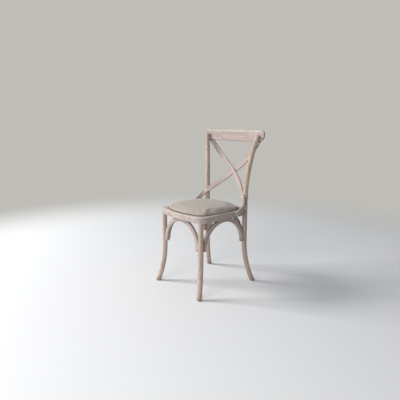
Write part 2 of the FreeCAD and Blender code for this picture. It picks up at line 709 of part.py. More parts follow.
class Strip:
    """One crossed strip of the back: from the rail, over the other strip, past the post, to the ring.

    side is the side of its lower end; front is 1 for the strip in front at the crossing, -1 behind.
    """

    def __init__(self, rail, side, front):
        half = size("strip_thickness / 2")
        gap = size("seat_gap")
        behind = size("rail_thickness / 2") + half + gap
        across = -side * size("strip_top_x")
        top = rail.surface(across, -size("strip_screw_drop"), behind)
        rail_face = rail.normal(across) * -1
        shoulder = self.by_post("shoulder", -side)
        waist = self.by_post("waist", side)
        slope = (waist - shoulder).normalize()
        self.crossing_face = Vector(0, slope.z, -slope.y).normalize()
        crossing = Vector(0, 0, size("crossing_height")) + UP * 0
        crossing.y = post_axis(side, crossing.z).y + size("crossing_depth")
        self.crossing = crossing
        crossing = crossing + self.crossing_face * (front * half)
        axis = post_axis(side, size("strip_bolt_height"))
        reach = size("leg_radius + strip_thickness / 2 - strip_seat")
        passing = (axis - Vector(0, reach, 0) - waist).normalize()
        self.bolt_face = square_to(Vector(0, -1, 0), passing)
        self.bolt = axis + self.bolt_face * reach
        self.passing = passing
        beside = "(seat_half_width + strip_thickness / 2)"
        land = spot(f"{beside} + strip_land_gap", "strip_land_y", "ring_top - strip_land_drop", side)
        tip = spot(f"{beside} + seat_gap", "strip_end_y", "ring_top - strip_end_drop", side)
        self.landing = (tip - land).normalize()
        self.ring_face = Vector(-side, 0, 0)
        leaving = square_to(shoulder - top, rail_face)
        start = top - leaving * size("strip_end_rise")
        self.top = top
        self.top_face = rail_face
        self.tip = tip
        points = [start, top, shoulder, crossing, waist, self.bolt, land, tip]
        tangents = [leaving, leaving, leaving, leaving, leaving, passing, self.landing, self.landing]
        flags = [True, True, False, False, False, True, True, True]
        self.curve = Part.BSplineCurve()
        self.curve.interpolate(Points=points, Tangents=tangents, TangentFlags=flags)
        knots = [self.curve.parameter(point) for point in points]
        # the knots where the face's direction is known, with that direction
        self.faces = [(knots[0], rail_face), (knots[1], rail_face), (knots[3], self.crossing_face),
                      (knots[5], self.bolt_face), (knots[6], self.ring_face), (knots[7], self.ring_face)]

    def by_post(self, name, side):
        """A place of the strip, given by its height, its distance across and how far it is behind the posts."""
        height = size(name + "_height")
        return Vector(side * size(name + "_x"), post_axis(side, height).y + size(name + "_depth"), height)

    def section(self, knot, face):
        """The strip's section: a flat rectangle with softened edges, its face towards a direction."""
        middle = self.curve.value(knot)
        along = Vector(*self.curve.tangent(knot)[0])
        out = square_to(face, along)
        across = along.cross(out)
        half_w = size("strip_width / 2")
        half_t = size("strip_thickness / 2")
        edge = size("strip_edge_flat")
        corners = []
        for w_sign, t_sign in ((1, -1), (1, 1), (-1, 1), (-1, -1)):
            ends = [(half_w - edge, half_t), (half_w, half_t - edge)]
            for width, thickness in ends if w_sign * t_sign < 0 else reversed(ends):
                corners.append(middle + across * (w_sign * width) + out * (t_sign * thickness))
        return Part.makePolygon(corners + corners[:1])

    def blank(self, name):
        """The strip before it is bored, lofted through its sections, at most section_step apart."""
        sections = []
        for (start, face), (end, next_face) in zip(self.faces, self.faces[1:]):
            count = math.ceil(self.curve.length(start, end) / size("section_step"))
            for step in range(count):
                share = step / count
                blend = face * (1 - share) + next_face * share
                sections.append(self.section(start + (end - start) * share, blend))
        sections.append(self.section(*self.faces[-1]))
        item = doc.addObject("Part::Feature", name)
        item.Shape = Part.makeLoft(sections, True, True)
        return item

    def notch(self, name):
        """The flat housing that a post gets where the strip crosses it."""
        item = doc.addObject("Part::Box", name)
        bind(item, "Length", "6 * leg_radius")
        bind(item, "Width", "strip_width + 2 * notch_gap")
        bind(item, "Height", "strip_thickness + leg_radius")
        across = self.bolt_face.cross(self.passing)
        corner = self.bolt - self.passing * size("3 * leg_radius") - across * size("strip_width / 2 + notch_gap")
        corner = corner - self.bolt_face * size("strip_thickness / 2")
        item.Placement = Placement(corner, Rotation(self.passing, across, self.bolt_face, "XYZ"))
        return item


# The seat and its four uprights
ring = make_ring()
board = make_board()
keep(make_cushion(), "seat_pad")
legs = [make_leg("front_left", -1), make_leg("front_right", 1)]
posts = [make_post("rear_left", -1), make_post("rear_right", 1)]
uprights = {FRONT_LEFT: legs[0], FRONT_RIGHT: legs[1], REAR_LEFT: posts[0], REAR_RIGHT: posts[1]}

# The back
rail = Rail()
rail_blank = rail.blank()
front_strip = Strip(rail, 1, 1)
rear_strip = Strip(rail, -1, -1)
strips = (front_strip, rear_strip)
front_blank = front_strip.blank("front_strip_blank")
rear_blank = rear_strip.blank("rear_strip_blank")

# Each brace: its name, its two uprights, and how far above its feet its screws go in
BRACES = (
    ("front_arch", FRONT_LEFT, FRONT_RIGHT, "arch_screw_rise"),
    ("rear_arch", REAR_LEFT, REAR_RIGHT, "arch_screw_rise"),
    ("left_arch", FRONT_LEFT, REAR_LEFT, "side_arch_screw_rise"),
    ("right_arch", FRONT_RIGHT, REAR_RIGHT, "side_arch_screw_rise"),
)

leg_screws = []
crown_screws = []
crown_bores = []
upright_bores = {place: [] for place in uprights}
for label, near, far, rise in BRACES:
    arch = Arch(near, far)
    own_bores = []
    for end, upright in ((-1, near), (1, far)):
        place = arch.foot_screw(end, rise)
        name = "%s_screw_%d" % (label, end + 2)
        leg_screws.append(screw(name, "arch_screw_length", place))
        bore = screw(name + "_bore", "arch_screw_length", place, "bore_gap")
        own_bores.append(bore)
        upright_bores[upright].append(bore)
    crown_screws.append(screw(label + "_crown_screw", "crown_screw_length", arch.crown_screw()))
    crown_bores.append(screw(label + "_crown_bore", "crown_screw_length", arch.crown_screw(), "bore_gap"))
    blank = arch.body(label)
    carve(blank, label, uprights[near], uprights[far], crown_bores[-1], *own_bores)
keep(group("arch_leg_screw_group", leg_screws), "arch_leg_screws")
keep(group("arch_crown_screw_group", crown_screws), "arch_crown_screws")

# The bolts that hold the posts to the ring, headed behind the post, with a nut inside the ring
post_bolts = []
post_nuts = []
post_bores = {}
nut_seats = []
BOLT_RUN = "(2 * leg_radius - post_notch + ring_width - post_bolt_sink - post_nut_sink)"
for name, side in (("left", -1), ("right", 1)):
    angle = math.radians(size("rear_post_angle"))
    outward = Vector(side * math.cos(angle), math.sin(angle), 0)
    place = spot(POST_X, POST_Y, WEB_MIDDLE, side) + outward * size("leg_radius - post_bolt_sink")
    place = facing(place, outward * -1)
    length = f"{BOLT_RUN} + nut_height + bolt_tail"
    post_bolts.append(bolt(name + "_post_bolt", length, place))
    post_nuts.append(nut(name + "_post_nut", place, BOLT_RUN))
    post_bore = rod(name + "_post_bore", "bolt_radius + bore_gap", length, place)
    sink = rod(name + "_post_sink", "bolt_head_radius + bore_gap", "leg_radius / 2", place, "leg_radius / 2")
    post_bores[side] = [post_bore, sink]
    seat_place = place.multiply(Placement(Vector(0, 0, size(BOLT_RUN)), Rotation()))
    nut_seats.append(rod(name + "_nut_seat", "nut_radius + bore_gap", "nut_height", seat_place))
keep(group("post_bolt_group", post_bolts), "post_bolts")
keep(group("post_nut_group", post_nuts), "post_nuts")

# Screws up through the ring into the seat board
seat_screws = []
seat_bores = []
LEDGE_FRONT = f"({BOW_MIDDLE} - sqrt((front_bow_radius - {LEDGE_MIDDLE})^2 - seat_screw_x^2))"
LEDGE_REAR = f"(seat_rear - {LEDGE_MIDDLE})"
for end, along in (("front", LEDGE_FRONT), ("rear", LEDGE_REAR)):
    for name, side in (("left", -1), ("right", 1)):
        place = facing(spot("seat_screw_x", along, RING_BOTTOM, side), UP)
        seat_screws.append(screw("seat_screw_%s_%s" % (end, name), "seat_screw_length", place))
        seat_bores.append(screw("seat_bore_%s_%s" % (end, name), "seat_screw_length", place, "bore_gap"))
keep(group("seat_screw_group", seat_screws), "seat_screws")

# Screws through the rail into the posts, under the ends of the strips
rail_screws = []
rail_bores = {-1: [], 1: []}
for side in (-1, 1):
    for level_sign in (-1, 1):
        rise = level_sign * size("rail_screw_spacing / 2") - size("rail_screw_drop")
        height = (rail.middle + rail.up * rise).z
        across = post_axis(side, height).x
        place = rail.surface(across, rise, size("rail_thickness / 2"))
        place = facing(place, rail.normal(across) * -1)
        name = "rail_screw_%d_%d" % (side + 2, level_sign + 2)
        rail_screws.append(screw(name, "rail_screw_length", place))
        rail_bores[side].append(screw(name + "_bore", "rail_screw_length", place, "bore_gap"))
keep(group("rail_screw_group", rail_screws), "rail_screws")

# What holds the strips: a screw into the rail, a bolt through the post and a screw into the ring
top_screws = []
end_screws = []
strip_bolts = []
strip_nuts = []
top_bores = []
end_bores = []
strip_bores = {}
bolt_bores = {}
STRIP_BOLT_RUN = "(strip_thickness + 2 * leg_radius - strip_seat)"
for strip, side in zip(strips, (1, -1)):
    half = size("strip_thickness / 2")
    name = "strip_%d" % (side + 2)
    place = facing(strip.top - strip.top_face * half, strip.top_face)
    top_screws.append(screw(name + "_top_screw", "strip_screw_length", place))
    top_bore = screw(name + "_top_bore", "strip_screw_length", place, "bore_gap")
    top_bores.append(top_bore)
    place = strip.tip - strip.landing * size("strip_end_screw_in") - strip.ring_face * half
    place = facing(place, strip.ring_face)
    end_screws.append(screw(name + "_end_screw", "strip_end_screw_length", place))
    end_bore = screw(name + "_end_bore", "strip_end_screw_length", place, "bore_gap")
    end_bores.append(end_bore)
    place = facing(strip.bolt + strip.bolt_face * half, strip.bolt_face * -1)
    length = f"{STRIP_BOLT_RUN} + nut_height + bolt_tail"
    strip_bolts.append(bolt(name + "_bolt", length, place))
    strip_nuts.append(nut(name + "_nut", place, STRIP_BOLT_RUN))
    bolt_bore = rod(name + "_bolt_bore", "bolt_radius + bore_gap", length, place)
    nut_place = place.multiply(Placement(Vector(0, 0, size(STRIP_BOLT_RUN)), Rotation()))
    nut_seat = rod(name + "_nut_seat", "nut_radius + bore_gap", "nut_height", nut_place)
    bolt_bores[side] = [bolt_bore, nut_seat]
    strip_bores[side] = [top_bore, end_bore, bolt_bore]
keep(group("strip_top_screw_group", top_screws), "strip_top_screws")
keep(group("strip_end_screw_group", end_screws), "strip_end_screws")
keep(group("strip_bolt_group", strip_bolts), "strip_bolts")
keep(group("strip_nut_group", strip_nuts), "strip_nuts")

# The screw that ties the strips together where they cross, from behind
place = rear_strip.crossing - rear_strip.crossing_face * size("strip_thickness")
place = facing(place, rear_strip.crossing_face)
keep(screw("crossing_tie", "crossing_screw_length", place), "crossing_screw")
crossing_bore = screw("crossing_bore", "crossing_screw_length", place, "bore_gap")

# Cut every wooden piece for its neighbours and its fasteners
carve(front_blank, "cross_strip_front", crossing_bore, *strip_bores[1])
carve(rear_blank, "cross_strip_rear", front_blank, crossing_bore, *strip_bores[-1])
carve(rail_blank, "crest_rail", *rail_bores[-1], *rail_bores[1], *top_bores)
for label, side, post, place, strip in (
        ("rear_left_post", -1, posts[0], REAR_LEFT, rear_strip),
        ("rear_right_post", 1, posts[1], REAR_RIGHT, front_strip)):
    bores = upright_bores[place] + rail_bores[side] + bolt_bores[side] + post_bores[side]
    carve(post, label, ring, rail.board, strip.notch(label + "_notch"), *bores)
for label, leg, place in (("front_left_leg", legs[0], FRONT_LEFT), ("front_right_leg", legs[1], FRONT_RIGHT)):
    carve(leg, label, *upright_bores[place])
sockets = []
for name, side in (("left", -1), ("right", 1)):
    place = facing(spot(LEG_X, LEG_Y, RING_BOTTOM, side), UP)
    sockets.append(rod(name + "_socket", "tenon_radius + bore_gap", "tenon_length + bore_gap", place))
ring_bores = sockets + crown_bores + seat_bores + end_bores + nut_seats
carve(ring, "seat_ring", *ring_bores, post_bores[-1][0], post_bores[1][0])
carve(board, "seat_board", *seat_bores)

# The glides that the feet stand on
glides = []
SPLAYS = (
    ("front_left", FRONT_LEFT, FRONT_BEND, "front_bend_height", "front_leg_angle"),
    ("front_right", FRONT_RIGHT, FRONT_BEND, "front_bend_height", "front_leg_angle"),
    ("rear_left", REAR_LEFT, REAR_BEND, "rear_bend_height", "rear_splay_angle"),
    ("rear_right", REAR_RIGHT, REAR_BEND, "rear_bend_height", "rear_splay_angle"),
)
for name, (across, along, side), bend, bend_height, turn in SPLAYS:
    lean = bend_lean(bend, f"{bend_height} - glide_height")
    back = -1 if "front" in name else 1
    place = spot(f"{across} + {lean} * cos({turn})", f"{along} + {back} * {lean} * sin({turn})", "0", side)
    glides.append(rod(name + "_glide", "glide_radius", "glide_height", facing(place, UP)))
keep(group("foot_glide_group", glides), "foot_glides")

doc.recompute()
for item in doc.Objects:
    if "Invalid" in item.State or "Error" in item.State:
        raise RuntimeError("%s failed: %s" % (item.Name, item.State))
for label, item in pieces.items():
    if item.Shape.isNull() or not item.Shape.isValid():
        raise RuntimeError("%s has no valid shape" % label)
    box = item.Shape.BoundBox
    print("%-18s %d solids %9.1f mm3  x %.1f..%.1f  y %.1f..%.1f  z %.1f..%.1f" % (
        label, len(item.Shape.Solids), item.Shape.Volume,
        box.XMin, box.XMax, box.YMin, box.YMax, box.ZMin, box.ZMax))

os.makedirs("parts", exist_ok=True)
for label, item in pieces.items():
    item.Shape.exportStep("parts/%s.step" % label)
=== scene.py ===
# %% [markdown]
# A bentwood dining chair with a crossed back.
# The chair's frame is loaded first as fixed parts: legs, posts, seat ring, arches, rail, strips and screws.
# Their shapes are right already, so this lesson gives them limewashed oak, steel and plastic. It makes anew
# only the upholstered pad, the seat ring with its rounder opening, and the two crossed strips of the back.

import bmesh
import bpy
import math
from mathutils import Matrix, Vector


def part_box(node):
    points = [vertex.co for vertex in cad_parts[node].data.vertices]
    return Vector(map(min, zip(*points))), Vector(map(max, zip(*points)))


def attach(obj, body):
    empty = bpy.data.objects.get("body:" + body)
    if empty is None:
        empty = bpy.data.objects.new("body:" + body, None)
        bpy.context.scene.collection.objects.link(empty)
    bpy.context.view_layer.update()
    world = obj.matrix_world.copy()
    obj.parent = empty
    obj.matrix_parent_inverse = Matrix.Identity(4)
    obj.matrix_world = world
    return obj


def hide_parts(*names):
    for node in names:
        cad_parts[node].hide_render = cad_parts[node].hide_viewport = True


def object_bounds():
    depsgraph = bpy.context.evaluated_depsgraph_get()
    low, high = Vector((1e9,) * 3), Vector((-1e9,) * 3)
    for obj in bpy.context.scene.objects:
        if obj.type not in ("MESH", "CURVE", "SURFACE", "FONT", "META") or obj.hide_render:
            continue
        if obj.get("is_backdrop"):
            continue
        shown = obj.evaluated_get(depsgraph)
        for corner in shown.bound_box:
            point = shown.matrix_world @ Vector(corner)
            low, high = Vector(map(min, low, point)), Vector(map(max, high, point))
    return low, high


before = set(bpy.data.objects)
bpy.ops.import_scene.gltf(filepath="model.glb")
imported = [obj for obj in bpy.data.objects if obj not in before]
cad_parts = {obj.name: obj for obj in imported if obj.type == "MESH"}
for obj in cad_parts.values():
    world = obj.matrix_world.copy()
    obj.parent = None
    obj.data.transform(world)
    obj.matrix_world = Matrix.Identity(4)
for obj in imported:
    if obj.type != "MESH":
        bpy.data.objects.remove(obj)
cad_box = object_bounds()
low, high = cad_box
print("chair from", tuple(round(v, 3) for v in low), "to", tuple(round(v, 3) for v in high))

# %% [markdown]
# The camera stands where the photographer stood: in front of the chair and to its right, a little above the
# back. Its place was found by fitting the seat ring, the feet and the rail, so it is written as two points.
# A camera looks along its own -Z, so the direction between the points is turned into a rotation.

# %% Camera
EYE = Vector((1.632, -1.4845, 0.932))
TARGET = Vector((-0.0175, -0.0392, 0.4924))
SENSOR = 36.0
LENS = 34.875

camera_data = bpy.data.cameras.new("camera")
camera_data.sensor_width = SENSOR
camera_data.lens = LENS
camera = bpy.data.objects.new("camera", camera_data)
camera.location = EYE
camera.rotation_euler = (TARGET - EYE).to_track_quat("-Z", "Y").to_euler()
bpy.context.scene.collection.objects.link(camera)
bpy.context.scene.camera = camera
print("camera is", round((TARGET - EYE).length, 3), "m from the seat")

# %% [markdown]
# The studio is a plain pale floor that fades into a warm grey background, as a sheet of paper would.
# A large window-like lamp stands on the left in front, so that the sides that face right lie in shade and the
# shadow falls to the right. A weak lamp and the sky fill the shade. The floor's far parts turn transparent
# with distance, so no edge shows from any side.

# %% Helpers for shader nodes
def add_node(tree, kind, **inputs):
    """A shader node with some of its inputs set or linked; a name such as _operation sets a property."""
    node = tree.nodes.new(kind)
    for name, value in inputs.items():
        if name.startswith("_"):
            setattr(node, name[1:], value)
    for name, value in inputs.items():
        if name.startswith("_"):
            continue
        socket = node.inputs[int(name[1:])] if name[0] == "n" and name[1:].isdigit() else node.inputs[name]
        if isinstance(value, bpy.types.NodeSocket):
            tree.links.new(value, socket)
        else:
            socket.default_value = value
    return node


def math_node(tree, operation, *values):
    """The output of a Math node."""
    inputs = {"n%d" % number: value for number, value in enumerate(values)}
    return add_node(tree, "ShaderNodeMath", _operation=operation, **inputs).outputs[0]


def mix_colour(tree, share, first, second):
    """The output of a Mix node between two colours."""
    return add_node(tree, "ShaderNodeMix", _data_type="RGBA", n0=share, n6=first, n7=second).outputs[2]


def new_material(name):
    """A material with a Principled BSDF; gives the material, its node tree and the shader."""
    material = bpy.data.materials.new(name)
    material.use_nodes = True
    tree = material.node_tree
    return material, tree, tree.nodes["Principled BSDF"]


# %% Floor and background
FLOOR_REACH = 3.2
FLOOR_CORNERS = 96
FADE_START = 1.6
FADE_END = 3.0
FLOOR_TINT = (0.74, 0.75, 0.765, 1)
FLOOR_ROUGHNESS = 0.8
FLOOR_SPECULAR = 0.1
FLOOR_GLOW = 0.10
WALL_TINT = (0.52, 0.51, 0.475, 1)
SKY_TINT = (0.93, 0.96, 1.0, 1)
SKY_STRENGTH = 0.27

mesh = bpy.data.meshes.new("floor")
sheet = bmesh.new()
bmesh.ops.create_circle(sheet, cap_ends=True, segments=FLOOR_CORNERS, radius=FLOOR_REACH)
sheet.to_mesh(mesh)
sheet.free()
floor = bpy.data.objects.new("floor", mesh)
bpy.context.scene.collection.objects.link(floor)

material, tree, shader = new_material("pale_floor")
shader.inputs["Base Color"].default_value = FLOOR_TINT
shader.inputs["Roughness"].default_value = FLOOR_ROUGHNESS
shader.inputs["Specular IOR Level"].default_value = FLOOR_SPECULAR
place = add_node(tree, "ShaderNodeTexCoord").outputs["Object"]
distance = add_node(tree, "ShaderNodeVectorMath", _operation="LENGTH", n0=place).outputs["Value"]
fade = add_node(tree, "ShaderNodeMapRange", _interpolation_type="SMOOTHSTEP", n0=distance, n1=FADE_START,
                n2=FADE_END, n3=1.0, n4=0.0).outputs[0]
tree.links.new(fade, shader.inputs["Alpha"])
rays = add_node(tree, "ShaderNodeLightPath")
shader.inputs["Emission Color"].default_value = FLOOR_TINT
glow = math_node(tree, "MULTIPLY", rays.outputs["Is Camera Ray"], FLOOR_GLOW)
tree.links.new(glow, shader.inputs["Emission Strength"])
floor.data.materials.append(material)
floor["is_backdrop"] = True

world = bpy.data.worlds.new("studio")
bpy.context.scene.world = world
world.use_nodes = True
tree = world.node_tree
tree.nodes.clear()
rays = add_node(tree, "ShaderNodeLightPath")
seen = math_node(tree, "MAXIMUM", rays.outputs["Is Camera Ray"], rays.outputs["Is Glossy Ray"])
seen = math_node(tree, "MAXIMUM", seen, rays.outputs["Is Transmission Ray"])
fill = add_node(tree, "ShaderNodeBackground", Color=SKY_TINT, Strength=SKY_STRENGTH).outputs[0]
shown = add_node(tree, "ShaderNodeBackground", Color=WALL_TINT, Strength=1.0).outputs[0]
either = add_node(tree, "ShaderNodeMixShader", n0=seen, n1=fill, n2=shown).outputs[0]
add_node(tree, "ShaderNodeOutputWorld", Surface=either)
print("floor reaches", FLOOR_REACH, "m")

# %% Lamps
def softbox(name, place, aim, size, power, tint):
    """A square lamp that shines from its place towards an aim."""
    data = bpy.data.lights.new(name, "AREA")
    data.shape = "SQUARE"
    data.size = size
    data.energy = power
    data.color = tint
    lamp = bpy.data.objects.new(name, data)
    lamp.location = place
    lamp.rotation_euler = (Vector(aim) - Vector(place)).to_track_quat("-Z", "Y").to_euler()
    bpy.context.scene.collection.objects.link(lamp)


SEAT_MIDDLE = (0, 0, 0.45)
softbox("window", place=(-3.6, -3.1, 3.2), aim=SEAT_MIDDLE, size=1.7, power=290, tint=(1.0, 0.985, 0.965))
softbox("bounce", place=(0.9, -3.3, 1.5), aim=SEAT_MIDDLE, size=2.0, power=62, tint=(1.0, 0.985, 0.97))
print("two lamps")

# %% [markdown]
# The wood is weathered oak under a limewash: a beige to greyish pink ground, fine darker streaks along the
# grain, and pale lime left in the open pores. One node group makes all of that from a place whose Z runs
# along the grain, so each piece only has to say how its wood runs. The streaks are noise that is stretched
# along Z, and a slow, broad noise changes the tone from board to board. Two masks can be given as well: Rub,
# where hands and clothes have rubbed an edge pale, and Grime, where dirt has settled.

# %% Limewashed grain
def group_sockets(group, inputs, outputs):
    """Names the sockets of a node group; each input has its kind and its value."""
    for name, kind, value in inputs:
        socket = group.interface.new_socket(name, in_out="INPUT", socket_type=kind)
        if value is not None:
            socket.default_value = value
    for name, kind in outputs:
        group.interface.new_socket(name, in_out="OUTPUT", socket_type=kind)
    return group.nodes.new("NodeGroupInput"), group.nodes.new("NodeGroupOutput")


NOISE_ROUGHNESS = 0.6
NOISE_DISTORTION = 0.25


def stretched_noise(tree, place, across, along, detail, offset):
    """Noise that is stretched along Z, from 0 to 1; across and along are its scales, per metre."""
    scaled = add_node(tree, "ShaderNodeVectorMath", _operation="MULTIPLY", n0=place,
                      n1=(across, across, along)).outputs[0]
    moved = add_node(tree, "ShaderNodeVectorMath", _operation="ADD", n0=scaled, n1=offset).outputs[0]
    return add_node(tree, "ShaderNodeTexNoise", _noise_dimensions="3D", Vector=moved, Scale=1.0, Detail=detail,
                    Roughness=NOISE_ROUGHNESS, Distortion=NOISE_DISTORTION).outputs["Fac"]


def stepped(tree, value, start, end):
    """A value spread from 0 at start to 1 at end, with soft ends."""
    return add_node(tree, "ShaderNodeMapRange", _interpolation_type="SMOOTHSTEP", n0=value, n1=start, n2=end,
                    n3=0.0, n4=1.0).outputs[0]


STREAK_SHARE = 0.75
PORE_SHARE = 0.40
RUB_SHARE = 0.55
GRIME_SHARE = 0.65
BARE_ROUGHNESS = 0.58
WASH_ROUGHNESS = 0.16
PORE_DEPTH = 0.7
STREAK_DEPTH = 0.3

grain = bpy.data.node_groups.new("limewashed_grain", "ShaderNodeTree")
given, made = group_sockets(
    grain,
    [("Along", "NodeSocketVector", None), ("Piece", "NodeSocketVector", None),
     ("Pale", "NodeSocketColor", (0.46, 0.345, 0.27, 1)), ("Streak", "NodeSocketColor", (0.20, 0.135, 0.10, 1)),
     ("Rose", "NodeSocketColor", (0.50, 0.395, 0.375, 1)), ("Lime", "NodeSocketColor", (0.64, 0.59, 0.565, 1)),
     ("Wash", "NodeSocketFloat", 0.5), ("Rub", "NodeSocketFloat", 0.0), ("Grime", "NodeSocketFloat", 0.0)],
    [("Color", "NodeSocketColor"), ("Roughness", "NodeSocketFloat"), ("Height", "NodeSocketFloat")])
run = given.outputs["Along"]
piece = given.outputs["Piece"]
streak = given.outputs["Streak"]
lime = given.outputs["Lime"]
broad = stretched_noise(grain, run, across=30.0, along=2.2, detail=3.0, offset=piece)
streaks = stretched_noise(grain, run, across=210.0, along=5.0, detail=6.0, offset=piece)
pores = stretched_noise(grain, run, across=900.0, along=26.0, detail=3.0, offset=piece)
blotch = stretched_noise(grain, run, across=120.0, along=5.0, detail=4.0, offset=piece)
streak_mask = stepped(grain, streaks, start=0.46, end=0.72)
pore_mask = stepped(grain, pores, start=0.56, end=0.70)
wash_mask = math_node(grain, "MULTIPLY", stepped(grain, blotch, start=0.40, end=0.72), given.outputs["Wash"])
tone_mask = stepped(grain, broad, start=0.30, end=0.70)
tone = mix_colour(grain, tone_mask, given.outputs["Pale"], given.outputs["Rose"])
ground = mix_colour(grain, math_node(grain, "MULTIPLY", streak_mask, STREAK_SHARE), tone, streak)
washed = mix_colour(grain, wash_mask, ground, lime)
pored = mix_colour(grain, math_node(grain, "MULTIPLY", pore_mask, PORE_SHARE), washed, streak)
rough = math_node(grain, "ADD", math_node(grain, "MULTIPLY", wash_mask, WASH_ROUGHNESS), BARE_ROUGHNESS)
height = math_node(grain, "SUBTRACT", 1.0, math_node(grain, "MULTIPLY", pore_mask, PORE_DEPTH))
height = math_node(grain, "SUBTRACT", height, math_node(grain, "MULTIPLY", streak_mask, STREAK_DEPTH))
rub_mask = math_node(grain, "MULTIPLY", given.outputs["Rub"], stepped(grain, streaks, start=0.35, end=0.55))
rubbed = mix_colour(grain, math_node(grain, "MULTIPLY", rub_mask, RUB_SHARE), pored, lime)
grime_mask = math_node(grain, "MULTIPLY", given.outputs["Grime"], stepped(grain, blotch, start=0.30, end=0.60))
soiled = mix_colour(grain, math_node(grain, "MULTIPLY", grime_mask, GRIME_SHARE), rubbed, streak)
grain.links.new(soiled, made.inputs["Color"])
grain.links.new(rough, made.inputs["Roughness"])
grain.links.new(height, made.inputs["Height"])
print("grain group has", len(grain.nodes), "nodes")

# %% [markdown]
# Bent wood keeps its grain along the bend. For a straight piece the object's own place is turned so that Z
# runs along it. For the round seat ring Z is the way round the middle, and for an arch it is the way along
# the half circle and down the feet. These are worked out with Math nodes from the object's own coordinates.

# %% How the wood runs in each piece
def own_place(tree, middle=(0, 0, 0), turn=(0, 0, 0)):
    """The object's own place, measured from a middle and turned by angles in degrees."""
    place = add_node(tree, "ShaderNodeTexCoord").outputs["Object"]
    moved = add_node(tree, "ShaderNodeVectorMath", _operation="SUBTRACT", n0=place, n1=middle).outputs[0]
    angles = tuple(math.radians(angle) for angle in turn)
    return add_node(tree, "ShaderNodeMapping", _vector_type="POINT", Vector=moved, Rotation=angles).outputs[0]


def apart(tree, vector):
    """The three outputs of a vector."""
    return add_node(tree, "ShaderNodeSeparateXYZ", Vector=vector).outputs


def together(tree, x, y, z):
    return add_node(tree, "ShaderNodeCombineXYZ", X=x, Y=y, Z=z).outputs[0]


def hypotenuse(tree, first, second):
    squares = math_node(tree, "ADD", math_node(tree, "MULTIPLY", first, first),
                        math_node(tree, "MULTIPLY", second, second))
    return math_node(tree, "SQRT", squares)


def straight_grain(turn=(0, 0, 0)):
    """Grain along one direction, which the turn brings to Z."""
    return lambda tree: own_place(tree, turn=turn)


def ring_grain(middle, radius):
    """Grain the way round a ring, joined at its rear."""
    def build(tree):
        x, y, z = apart(tree, own_place(tree, middle))
        angle = math_node(tree, "ARCTAN2", x, math_node(tree, "MULTIPLY", y, -1.0))
        return together(tree, hypotenuse(tree, x, y), z, math_node(tree, "MULTIPLY", angle, radius))
    return build


def arch_grain(middle, radius, turn):
    """Grain over a half circle and straight down its two feet; the middle is that of the circle."""
    def build(tree):
        x, y, z = apart(tree, own_place(tree, middle, (0, 0, turn)))
        side = math_node(tree, "SIGN", x)
        out = math_node(tree, "ABSOLUTE", x)
        rise = math_node(tree, "MAXIMUM", z, 0.0)
        drop = math_node(tree, "MINIMUM", z, 0.0)
        swing = math_node(tree, "MULTIPLY", math_node(tree, "ARCTAN2", out, rise), radius)
        way = math_node(tree, "MULTIPLY", side, math_node(tree, "SUBTRACT", swing, drop))
        return together(tree, hypotenuse(tree, out, rise), y, way)
    return build


GRAIN_DEPTH = 0.0004
GRAIN_BUMP = 0.6
WOOD_SPECULAR = 0.28


def at_height(start, full):
    """A mask over a piece that grows from nothing at one height to full at another."""
    def build(tree):
        place = add_node(tree, "ShaderNodeTexCoord").outputs["Object"]
        return stepped(tree, apart(tree, place)["Z"], start, full)
    return build


def limewashed_oak(name, run, piece, rub=None, grime=None, **colours):
    """A limewashed oak for one piece; run builds its grain's place, and piece moves the pattern.

    rub and grime build masks: where hands and clothes have rubbed the edge pale, and where dirt has settled.
    """
    material, tree, shader = new_material(name)
    if rub:
        colours["Rub"] = rub(tree)
    if grime:
        colours["Grime"] = grime(tree)
    wood = add_node(tree, "ShaderNodeGroup", _node_tree=grain, Along=run(tree), Piece=piece, **colours)
    tree.links.new(wood.outputs["Color"], shader.inputs["Base Color"])
    tree.links.new(wood.outputs["Roughness"], shader.inputs["Roughness"])
    bump = add_node(tree, "ShaderNodeBump", Strength=GRAIN_BUMP, Distance=GRAIN_DEPTH,
                    Height=wood.outputs["Height"])
    tree.links.new(bump.outputs["Normal"], shader.inputs["Normal"])
    shader.inputs["Specular IOR Level"].default_value = WOOD_SPECULAR
    return material


def finish(node, material):
    """Gives a node of the frame its finish."""
    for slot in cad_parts[node].material_slots:
        slot.material = material
    print(node, "is finished with", material.name)


# %% [markdown]
# The legs and posts are the warmest wood and the rail is the darkest; the arches, the ring and the strips are
# greyer. Dirt has settled at the feet of the legs and of the arches, and the top edges of the rail and the ring
# are rubbed pale. The board under the pad is plywood coloured dark as painted shade, so that the gap round the
# pad reads as shade and no light edge shows there.

# %% Finish the wooden pieces
WARM = {"Pale": (0.52, 0.385, 0.30, 1), "Rose": (0.43, 0.335, 0.30, 1), "Wash": 0.42}
GREY = {"Pale": (0.45, 0.355, 0.31, 1), "Rose": (0.40, 0.325, 0.31, 1), "Wash": 0.50}
DUSKY = {"Pale": (0.37, 0.29, 0.26, 1), "Rose": (0.33, 0.27, 0.26, 1), "Wash": 0.38}
# The board's colours are painted shade: dark, so that the gap round the pad reads as shade.
BOARD_PAINTED_SHADE = {"Pale": (0.21, 0.165, 0.125, 1), "Rose": (0.19, 0.15, 0.12, 1), "Wash": 0.05}
FOOT = at_height(0.045, 0.004)
ARCH_FOOT = at_height(0.275, 0.256)
RAIL_EDGE = at_height(0.872, 0.887)

for number, node in enumerate(("front_left_leg", "front_right_leg", "rear_left_post", "rear_right_post")):
    oak = limewashed_oak(node + "_oak", straight_grain(), (number * 3.1, 1.7, number * 5.3), grime=FOOT, **WARM)
    finish(node, oak)

rail_run = straight_grain((0, -90, 0))
finish("crest_rail", limewashed_oak("rail_oak", rail_run, (7.3, 2.2, 6.4), rub=RAIL_EDGE, **DUSKY))

